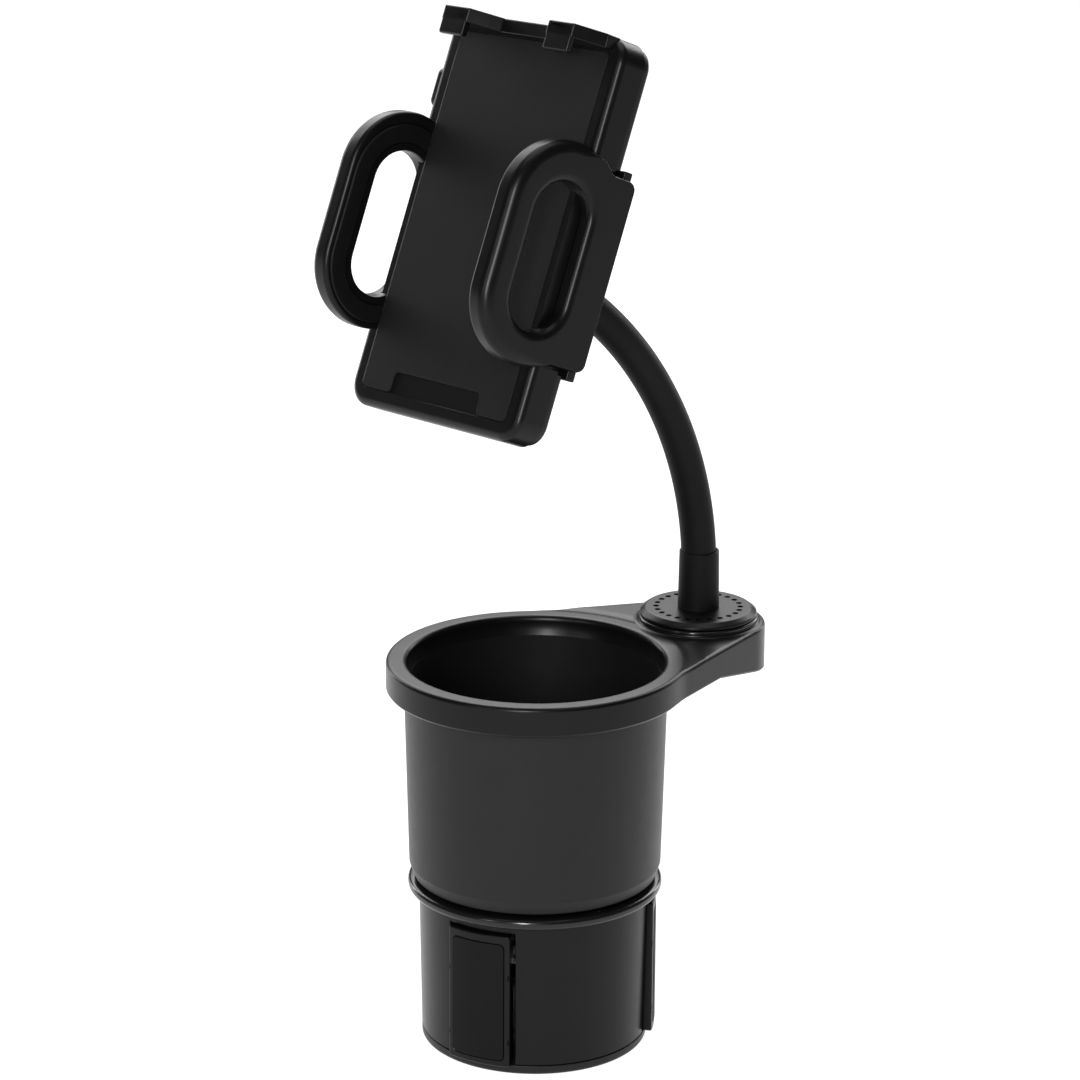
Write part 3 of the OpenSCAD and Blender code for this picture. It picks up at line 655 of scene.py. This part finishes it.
def arm_reach_at(angle):
    """Distance from the cup axis to the arm's own outline: two straight sides and a round end."""
    lean = asin((ARM_SIDE - LOBE_R) / ARM_REACH)
    off = abs(((angle - pi / 2) + pi) % (2 * pi) - pi)
    if off >= pi / 2 - lean:
        return ARM_SIDE
    if off >= atan2(LOBE_R * cos(lean), ARM_REACH + LOBE_R * sin(lean)):
        return ARM_SIDE / cos(pi / 2 - lean - off)
    b = ARM_REACH * cos(off)
    return b + sqrt(max(b * b - ARM_REACH ** 2 + LOBE_R ** 2, 0))


def outline_at(angle):
    """The rim circle and the arm joined, with a soft hollow where they meet."""
    soft = 1.3
    a, b = RIM_R, arm_reach_at(angle)
    near = max(soft - abs(a - b), 0) / soft
    return max(a, b) + near * near * soft / 4


def teardrop(angle):
    """Distance from the cup axis to the rim-and-arm outline, and the outward normal there."""
    r = outline_at(angle)
    slope = (outline_at(angle + 0.002) - outline_at(angle - 0.002)) / 0.004
    d = Vector((cos(angle), sin(angle)))
    t = Vector((-sin(angle), cos(angle)))
    return r, (d * r - t * slope).normalized()


def top_height(x, y):
    """The rim and the arm share one level, with a shallow dip beside the rim."""
    r = sqrt(x * x + y * y)
    inner = RIM_TOP - 1.5 * smooth((MOUTH_R + 1.5 - r) / 1.5) ** 2
    if y <= 0 and r < RIM_R + 0.01:
        return inner
    return inner - 0.18 * smooth((r - 44.4) / 1.6) * (1 - smooth((r - 46.5) / 3.5))


def low_height(y):
    """The underside: level below the rim, then sloping down along the arm."""
    drop = max(y - SLOPE_FROM, 0) * tan(radians(SLOPE))
    return RING_LOW - drop


def collar_column(a):
    """Points round the collar's section on one ray, from the inner lip over the top to the underside."""
    lip, lip_drop, under, flat_to, inner_low = 1.3, 1.7, 0.8, 51, 42.2
    edge = edge_round(1.3, 1.2, 5)
    reach, n = teardrop(a)
    d = Vector((cos(a), sin(a)))
    column = []
    # inner lip, rising from the shell's top
    for r, z in ((MOUTH_R - 0.88, SHELL_TOP), (MOUTH_R - 0.3, SHELL_TOP + 1.6),
                 (MOUTH_R, SHELL_TOP + 3.2), (MOUTH_R, RIM_TOP - lip_drop)):
        column.append((d.x * r, d.y * r, z))
    for k in range(1, 6):
        t = pi / 2 * k / 6
        r = MOUTH_R + lip * (1 - cos(t))
        column.append((d.x * r, d.y * r, RIM_TOP - lip_drop + lip_drop * sin(t)))
    # top face, in even steps near the rim and again along the arm
    base = d * reach
    rim_edge = base - n * edge[-1][0]
    start_r = MOUTH_R + lip
    far = min(rim_edge.length, flat_to)
    for k in range(16):
        r = start_r + (far - start_r) * (k / 15)
        x, y = d.x * r, d.y * r
        column.append((x, y, top_height(x, y)))
    for k in range(1, 9):
        p = d * far + (rim_edge - d * far) * (k / 8)
        column.append((p.x, p.y, top_height(p.x, p.y)))
    # rounded outer edge, then the underside back to the shell
    for inset, down in reversed(edge):
        p = base - n * inset
        column.append((p.x, p.y, top_height(rim_edge.x, rim_edge.y) - down))
    low = low_height(base.y)
    for inset, _ in edge_round(under, under, 4):
        p = base - n * inset
        t = pi / 2 * min(inset / under, 1)
        column.append((p.x, p.y, low + under - under * sin(t)))
    for k in range(1, 10):
        f = k / 9
        p = (base - n * under) * (1 - f) + d * inner_low * f
        column.append((p.x, p.y, low_height(p.y)))
    for z in (RING_LOW, SHELL_TOP):
        column.append((d.x * (SHELL_R + 0.05), d.y * (SHELL_R + 0.05), z))
    return column


def make_collar():
    """The rim ring and teardrop arm: one skin, drawn on rays from the cup axis."""
    turns = 360
    bm = bmesh.new()
    columns = []
    for i in range(turns):
        # rays crowd towards the arm, where the outline runs further out
        t = 2 * pi * i / turns
        columns.append([bm.verts.new(p) for p in collar_column(pi / 2 + t - 0.45 * sin(t))])
    for i in range(turns):
        bridge(bm, columns[i], columns[(i + 1) % turns])
    bmesh.ops.remove_doubles(bm, verts=bm.verts, dist=0.003)
    bmesh.ops.recalc_face_normals(bm, faces=bm.faces)
    at_disc = Matrix.Translation((0, ARM_REACH, 0))
    pocket = placed(rod(17.4, 90, 114.4, sides=96), at_disc)
    bore = placed(rod(ARM_BORE_R, 110, 130, sides=64), at_disc)
    body = cut(bm, pocket, bore)
    boss = lathe([(ARM_BORE_R, ARM_TOP - 0.6, 0), (BOSS_R + 1.3, ARM_TOP - 0.6, 0),
                  (BOSS_R + 1.3, ARM_TOP + 0.02, 0), (BOSS_R, ARM_TOP + 0.25, 0.9),
                  (BOSS_R, BOSS_TOP, 0.3), (ARM_BORE_R, BOSS_TOP, 0.1)], 128)
    finish_mesh("rim_and_arm", merge(body, placed(boss, at_disc)), ROW, "cup", "black_plastic",
                ["collar_arm"])
    ring = lathe([(11, BOSS_TOP, 0), (18.4, BOSS_TOP, 0.2), (18.4, FRICTION_TOP, 0.45),
                  (11, FRICTION_TOP, 0.2)], 128)
    finish_mesh("friction_ring", ring, DISC, "cup", "gloss_black", ["swivel_ring"])


# ---------------------------------------------------------------- swivel and neck
def make_swivel():
    """The disc with its ring of pits, the washer and bolt below it, and the boot at the neck's foot."""
    disc = lathe([(0, 114.1, 0), (6.0, 114.1, 0.2), (6.0, DISC_LOW, 0), (DISC_R, DISC_LOW, 0.3),
                  (DISC_R, DISC_TOP - 1.25, 0.5), (DISC_R - 1.75, DISC_TOP, 0.9),
                  (0, DISC_TOP, 0)], 160)
    pits = []
    for k in range(DISC_HOLES):
        pits.append(placed(rod(0.95, DISC_TOP - 0.9, DISC_TOP + 1, sides=20),
                           about_z(360 / DISC_HOLES * (k + 0.5)) @ Matrix.Translation((HOLE_RING, 0, 0))))
    pits.append(rod(1.95, 113, 119.5, sides=32))
    finish_mesh("swivel_disc_top", cut(disc, *pits), DISC, "swivel", "black_plastic", ["swivel_disc"])
    washer = lathe([(1.95, 112.9, 0), (10.5, 112.9, 0.25), (10.5, 114.1, 0.25), (1.95, 114.1, 0)], 64)
    finish_mesh("swivel_washer_plate", washer, DISC, "swivel", "steel", ["swivel_washer"])
    bolt = screw(4.2, 110.9, 112.9, 1.9, 118, upward=False)
    finish_mesh("swivel_bolt", bolt, DISC, "swivel", "steel", ["swivel_screw"])
    bore = NECK_R + 0.05
    boot = lathe([(bore, DISC_TOP, 0), (6.4, DISC_TOP, 0.1), (6.1, BOOT_TOP, 0.3), (bore, BOOT_TOP, 0.05)],
                 72)
    finish_mesh("neck_boot_sleeve", boot, DISC, "swivel", "rubber", ["neck_boot"])


def on_curve(a):
    """A point on the neck's centre line, by degrees along its curve, and the direction there."""
    t = radians(a)
    return (Vector((0, ARM_REACH - BEND_R * (1 - cos(t)), BEND_Z + BEND_R * sin(t))),
            Vector((0, -sin(t), cos(t))))


def tube(stations, outer, inner, sides=48):
    """A hollow sleeve through (point, direction) stations."""
    bm = bmesh.new()
    across = Vector((1, 0, 0))
    walls = []
    for r in (outer, inner):
        rings = []
        for p, along in stations:
            up = along.cross(across)
            spokes = [2 * pi * j / sides for j in range(sides)]
            rings.append([bm.verts.new(p + across * (r * cos(a)) + up * (r * sin(a))) for a in spokes])
        for one, two in zip(rings, rings[1:]):
            bridge(bm, one, two)
        walls.append(rings)
    for end in (0, -1):
        bridge(bm, walls[0][end], walls[1][end])
    return bm


def make_neck():
    """The rubber sleeve in seven stretches, each bending across one joint of the core."""
    count = 7
    step = BEND_ANGLE / count
    names = ["swivel"] + ["neck_%d" % k for k in range(1, count + 1)]
    for k in range(1, count + 1):
        low = step * (k - 1)
        high = step * k
        stations = [on_curve(low + (high - low) * i / 8) for i in range(9)]
        if k == 1:
            straight = [(Vector((0, ARM_REACH, DISC_TOP + (BEND_Z - DISC_TOP) * i / 4)), Vector((0, 0, 1)))
                        for i in range(4)]
            stations = straight + stations
        piece = finish_mesh("neck_sleeve_%d" % k, tube(stations, NECK_R, SLEEVE_IN), ROW, names[k - 1],
                            "rubber", ["neck_sleeve"], blended=True)
        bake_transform(piece)
    end, along = on_curve(BEND_ANGLE)
    across = Vector((1, 0, 0))
    at_end = axes_matrix(across, along.cross(across), along, end * MM)
    cap = lathe([(3.05, 0, 0), (5.6, 0, 0.2), (5.6, 1.6, 0.5), (3.05, 1.6, 0.2)], 64)
    finish_mesh("neck_end_ring", cap, at_end, "neck_7", "rubber", ["neck_end_cap"])


# ---------------------------------------------------------------- ball joint
def sphere_arc(r, start, stop, k=10):
    """Corners along a sphere's meridian, by angle from +z in degrees."""
    return [(r * sin(radians(start + (stop - start) * i / k)),
             r * cos(radians(start + (stop - start) * i / k)), 0) for i in range(k + 1)]


def make_ball_joint():
    """The socket round the ball, and the ring nut whose skirt is ribbed for the fingers."""
    socket = lathe([(0, 8.8, 0)] + sphere_arc(BALL_BORE_R, 4, 96.5, 14)
                   + [(11.0, -1, 0.2), (11.0, 6.5, 1.5), (14.0, 9.4, 0.5), (14.0, 11.8, 0.4),
                      (5.0, 11.8, 0), (5.0, 15.8, 0.3), (0, 15.8, 0)], 96)
    finish_mesh("socket_body", socket, BALL, "socket", "black_plastic", ["socket_cup"])
    ribs, rib_depth = 18, 0.85

    def grip(a, r, z):
        if r > 12.4 and -1.5 < z < 5.2:
            return r - rib_depth * max(cos(ribs * a), 0) ** 3
        return r

    section = sphere_arc(BALL_BORE_R, 96.5, 134, 8)
    section += [(11.05, -0.95, 0), (11.05, 5.0, 0.2), (13.2, 5.0, 0.5), (13.2, 2.0, 0), (13.2, -1.0, 0.5),
                (10.2, -6.0, 0.5), (7.0, -6.0, 0.3)]
    nut = lathe(section[::-1], 216, wobble=grip)
    finish_mesh("socket_nut", nut, BALL, "socket", "black_plastic", ["ring_nut"])


# ---------------------------------------------------------------- cradle
def body_path(smaller=0.0):
    """The cradle body's outline with a bay in each side for an arm's root plate."""
    x, r = BODY_HALF - smaller, BODY_CORNER - smaller
    low, top = BODY_LOW + smaller, BODY_TOP - smaller
    bay, bay_low, bay_top = BAY_X - smaller, BAY_LOW - smaller, BAY_TOP + smaller
    return rounded_path([(-x, low, r), (x, low, r), (x, bay_low, 0), (bay, bay_low, 0), (bay, bay_top, 0),
                         (x, bay_top, 0), (x, top, r), (-x, top, r), (-x, bay_top, 0),
                         (-bay, bay_top, 0), (-bay, bay_low, 0), (-x, bay_low, 0)], 7.5)


def body_inset(smaller=0.0):
    """A rule that rounds the body's outside edge, but lets the round run out square at the arm bays."""
    def rule(sample, inset):
        x, y, nx, ny = sample
        if BAY_LOW - smaller - 0.05 <= y <= BAY_TOP + smaller + 0.05:
            limit = BODY_HALF - smaller - inset
            return max(min(x, limit), -limit), y
        return x - nx * inset, y - ny * inset

    return rule


def hook(side):
    """One top prong: a ramped gusset with a lip that turns down over the phone's edge."""
    inner, outer, reach, foot, foot_z = 18.9, 30.2, 12.0, -1.5, 2.9
    ramp = [(inner - 6.1, foot), (outer + 4.8, foot), (outer + 4.8, foot_z), (outer, reach),
            (inner, reach), (inner - 6.1, foot_z)]
    bm = prism([(side * x, 55.0, z) for x, z in ramp], [(side * x, BODY_TOP, z) for x, z in ramp])
    bmesh.ops.recalc_face_normals(bm, faces=bm.faces)
    bmesh.ops.bevel(bm, geom=[e for e in bm.edges if e.calc_face_angle(0) > radians(20)], offset=0.45,
                    segments=3, profile=0.5, affect="EDGES")
    x0, x1 = sorted((side * inner, side * outer))
    lip = brick(x0, x1, 50.8, BODY_TOP, reach - 2.4, reach, 0.7, 3)
    return merge(bm, lip)


def make_front_shell():
    """The tray behind the phone, its top wall with two hooks, and the post that the pinion turns on."""
    w, h = PAD_HALF_W + 0.25, PAD_HALF_H + 0.25
    recess = rectangle(-w, w, -h, h, 1.6)
    inside = rectangle(-BAY_X + SKIN, BAY_X - SKIN, BODY_LOW + SKIN, BODY_TOP - SKIN, 5)
    front = moulding(body_path(), slab_profile(-FRONT_T, 0, 0, 2.6, 2.4, 7),
                     cuts=[(recess, [(0, -0.45), (0, -0.1), (0.1, 0)]),
                           (inside, [(0, -FRONT_T), (0, -SKIN)])],
                     inset_rule=body_inset())
    tongue = 8.0
    slots = [brick(30, 50, PINION_Y - 6 - tongue - 1.8, PINION_Y - 5.5, -9.0, -5.6),
             brick(-50, -30, PINION_Y + 5.5, PINION_Y + 6 + tongue + 1.8, -9.0, -5.6),
             brick(-46, -33, BUTTON_Y - 6.4, BUTTON_Y + 6.4, BUTTON_Z - 2.6, BUTTON_Z + 2.6, 2.2, 6)]
    front = cut(front, *slots)
    wall = moulding(rectangle(-35.4, 35.4, 54.95, BODY_TOP, 0.8), slab_profile(-1.8, 2.9, 0, 0.5))
    post = lathe([(0, -9.2, 0), (2.0, -9.2, 0.2), (2.0, -1.5, 0), (0, -1.5, 0)], 32)
    merge(front, wall, hook(1), hook(-1), placed(post, Matrix.Translation((0, PINION_Y, 0))))
    finish_mesh("cradle_front_shell", front, FACE, "cradle", "black_plastic", ["cradle_front"])


def make_rear_shell():
    """The back cover, a little smaller all round, with screw wells and a groove round the ball's stem."""
    smaller = 0.9
    levels = [(inset, -BODY_T + d) for inset, d in reversed(edge_round(1.3, 1.3))]
    levels += [(0, -FRONT_T - 0.35), (0.35, -FRONT_T)]
    x = BAY_X - SKIN - smaller
    inside = rectangle(-x, x, BODY_LOW + smaller + SKIN, BODY_TOP - smaller - SKIN, 4)
    rear = moulding(body_path(smaller), levels, cuts=[(inside, [(0, -BODY_T + SKIN), (0, -FRONT_T)])],
                    inset_rule=body_inset(smaller))
    wells = [rod(2.9, -BODY_T - 1, -BODY_T + 1.4, x, y) for x, y in SCREW_SPOTS]
    wells.append(rod(5.05, -BODY_T - 1, -9, 0, -FACE_UP))
    groove = lathe([(15.2, -BODY_T - 1, 0), (16.0, -BODY_T - 1, 0), (16.0, -BODY_T + 0.4, 0.15),
                    (15.2, -BODY_T + 0.4, 0.15)], 96)
    wells.append(placed(groove, Matrix.Translation((0, -FACE_UP, 0))))
    finish_mesh("cradle_rear_shell", cut(rear, *wells), FACE, "cradle", "satin_plastic", ["cradle_rear"])


def make_face_sheet():
    """The thin sheet that the phone leans on, with a wide notch in its lower edge."""
    w, h, q, r = PAD_HALF_W, PAD_HALF_H, NOTCH_HALF, 1.6
    path = rounded_path([(-w, -h, r), (-q, -h, r), (-q, NOTCH_TOP, 1.8), (q, NOTCH_TOP, 1.8),
                         (q, -h, r), (w, -h, r), (w, h, r), (-w, h, r)], 10)
    sheet = moulding(path, slab_profile(-0.44, 0.1, 0, 0.25))
    finish_mesh("face_sheet", sheet, FACE, "cradle", "face_sheet", ["face_pad"])


def make_rear_screws():
    screws = bmesh.new()
    for x, y in SCREW_SPOTS:
        merge(screws, placed(screw(2.6, -BODY_T + 0.1, -BODY_T + 1.4, 1.15, -3.2, upward=False),
                             Matrix.Translation((x, y, 0))))
    finish_mesh("rear_screws", screws, FACE, "cradle", "steel", ["cradle_screws"])


def arm_path():
    """The outline of an arm in (height, depth): a big-cornered loop on a straight root plate."""
    r, f = LOOP_R, 1.5
    low_c, high_c, mid = LOOP_LOW + r, LOOP_TOP - r, ARM_DEPTH - r
    k = 3.0

    def fillet(line_x, centre_x, side):
        """The small hollow round where the root plate meets the loop: its centre and its touch angle."""
        fx = line_x + side * f
        fy = mid - sqrt((r + f) ** 2 - (fx - centre_x) ** 2)
        return fx, fy, atan2(fy - mid, fx - centre_x) * 180 / pi

    top_x, top_y, top_touch = fillet(ROOT_TOP, high_c, 1)
    low_x, low_y, low_touch = fillet(ROOT_LOW, low_c, -1)
    low_touch += 360
    path = arc(ROOT_TOP - k, ROOT_BACK + k, k, -90, 0)
    path += arc(top_x, top_y, f, 180, 180 + top_touch, hollow=True)
    path += arc(high_c, mid, r, top_touch, 90, step=5)
    path += arc(low_c, mid, r, 90, low_touch, step=5)
    path += arc(low_x, low_y, f, low_touch - 180, 0, hollow=True)
    path += arc(ROOT_LOW + k, ROOT_BACK + k, k, 180, 270)
    return path


def arm_inset(sample, inset):
    """Full rounding round the loop, crisper on the root plate."""
    x, y, nx, ny = sample
    share = 0.15 + 0.85 * smooth((y + 4) / 9)
    return x - nx * inset * share, y - ny * inset * share


def slot_outline(grow, step=5):
    """The outline of an arm's slot, grown all round."""
    return stadium(SLOT_LOW - grow, SLOT_TOP + grow, SLOT_MID, SLOT_R + grow, step)


def make_arm(name, matrix, body):
    """A loop that leans in over the face, its root plate, and the slide plate behind the body."""
    profile = slab_profile(LOOP_IN, ARM_OUT, 1.5, 3.7, 3.4, 8)
    hole = [(1.0, LOOP_IN), (0.3, LOOP_IN + 0.3), (0, LOOP_IN + 1.0)]
    hole += [(inset, ARM_OUT - d) for inset, d in edge_round(2.5, 2.2, 7)]
    bm = moulding(arm_path(), profile, cuts=[(slot_outline(0, 6), hole)], inset_rule=arm_inset)
    # the root stands clear of the body's side, and the loop clear of its face
    clear = [brick(-60, 60, -30, LOOP_GAP, 20, ARM_IN), brick(ROOT_TOP, 60, -30, LOOP_GAP, 20, FLARE_IN),
             brick(-60, ROOT_LOW, -30, LOOP_GAP, 20, FLARE_IN)]
    # a grip pad lies in a groove round the slot, on the inner face, and both stop short of the root
    grip_in, grip_out, gap, depth = 2.4, 8.4, 0.3, 0.9
    levels = [(0, LOOP_IN - 1), (0, LOOP_IN + depth)]
    groove = moulding(slot_outline(grip_out), levels, cuts=[(slot_outline(grip_in), levels)])
    groove = cut(groove, brick(-60, 60, -30, 1.0, LOOP_IN - 3, LOOP_IN + 4))
    bm = cut(bm, *clear, groove)
    merge(bm, brick(-38.3, 23.6, -15.8, -BODY_T - 0.3, 35.5, 40.4, 0.5, 3))
    finish_mesh("arm_%s_loop" % name, bm, matrix, body, "black_plastic", ["arm_" + name])
    grip = moulding(slot_outline(grip_out - gap),
                    [(0.9, LOOP_IN - 0.55), (0.35, LOOP_IN - 0.45), (0, LOOP_IN - 0.1), (0, LOOP_IN + 0.85)],
                    cuts=[(slot_outline(grip_in + 0.2),
                           [(0.8, LOOP_IN - 0.55), (0.2, LOOP_IN - 0.4), (0, LOOP_IN),
                            (0, LOOP_IN + 0.85)])])
    grip = cut(grip, brick(-60, 60, -30, 1.1, LOOP_IN - 3, LOOP_IN + 4))
    finish_mesh("grip_%s_pad" % name, grip, matrix, body, "rubber", ["grip_" + name])


def make_rack(name, body, matrix):
    """The toothed tongue that carries an arm, drawn for the right side."""
    root, low, high = PINION_Y - 7.2, -8.6, -6.0
    bm = brick(-17, ARM_IN + 0.4, root - 8, root, low, high, 0.25)
    teeth, pitch_r = 12, 6
    pitch = 2 * pi * pitch_r / teeth
    tooth = [(-0.95, -0.3), (0.95, -0.3), (0.38, 1.85), (-0.38, 1.85)]
    for k in range(-5, 1):
        spots = [(k * pitch + x, root + y) for x, y in tooth]
        merge(bm, prism([(x, y, high) for x, y in spots], [(x, y, low) for x, y in spots]))
    finish_mesh("rack_" + name, bm, matrix, body, "black_plastic", ["arm_" + name])


def make_button():
    """The oval release button on the left side, with its stem and tail inside the body."""
    path = stadium(BUTTON_Y - 6, BUTTON_Y + 6, BUTTON_Z, 2.2)
    cap = moulding(path, [(0, -40.4), (0, -43.0), (0.15, -43.5), (0.5, -43.85), (1.1, -44.0)])
    stem = brick(-40.5, -38, BUTTON_Y - 5, BUTTON_Y + 5, BUTTON_Z - 1.9, BUTTON_Z + 1.5, 0.3)
    tail = brick(-38.1, -34, BUTTON_Y - 2, BUTTON_Y + 1, BUTTON_Z - 1.2, BUTTON_Z + 0.8)
    finish_mesh("button_cap", merge(placed(cap, SIDEWAYS), stem, tail), FACE, "button", "black_plastic",
                ["release_button"])


def finish_cad_nodes():
    """Every CAD node that stays gets its slot's procedural material."""
    for part in frame["record"]["subparts"]:
        obj = frame["nodes"][part["node"]]
        material = MATERIALS[part["material_slot"]]
        if not obj.data.materials:
            obj.data.materials.append(material)
        for index in range(len(obj.material_slots)):
            obj.material_slots[index].material = material


make_camera()
make_studio()
finish_cad_nodes()
make_base()
for number in range(3):
    make_shoe(number)
make_cup()
make_collar()
make_swivel()
make_neck()
make_ball_joint()
make_front_shell()
make_rear_shell()
make_face_sheet()
make_rear_screws()
make_arm("right", ARM_RIGHT, "arm_right")
make_arm("left", ARM_LEFT, "arm_left")
make_rack("right", "arm_right", FACE)
make_rack("left", "arm_left", FACE @ Matrix.Translation((0, 2 * PINION_Y, 0)) @ about_z(180))
make_button()
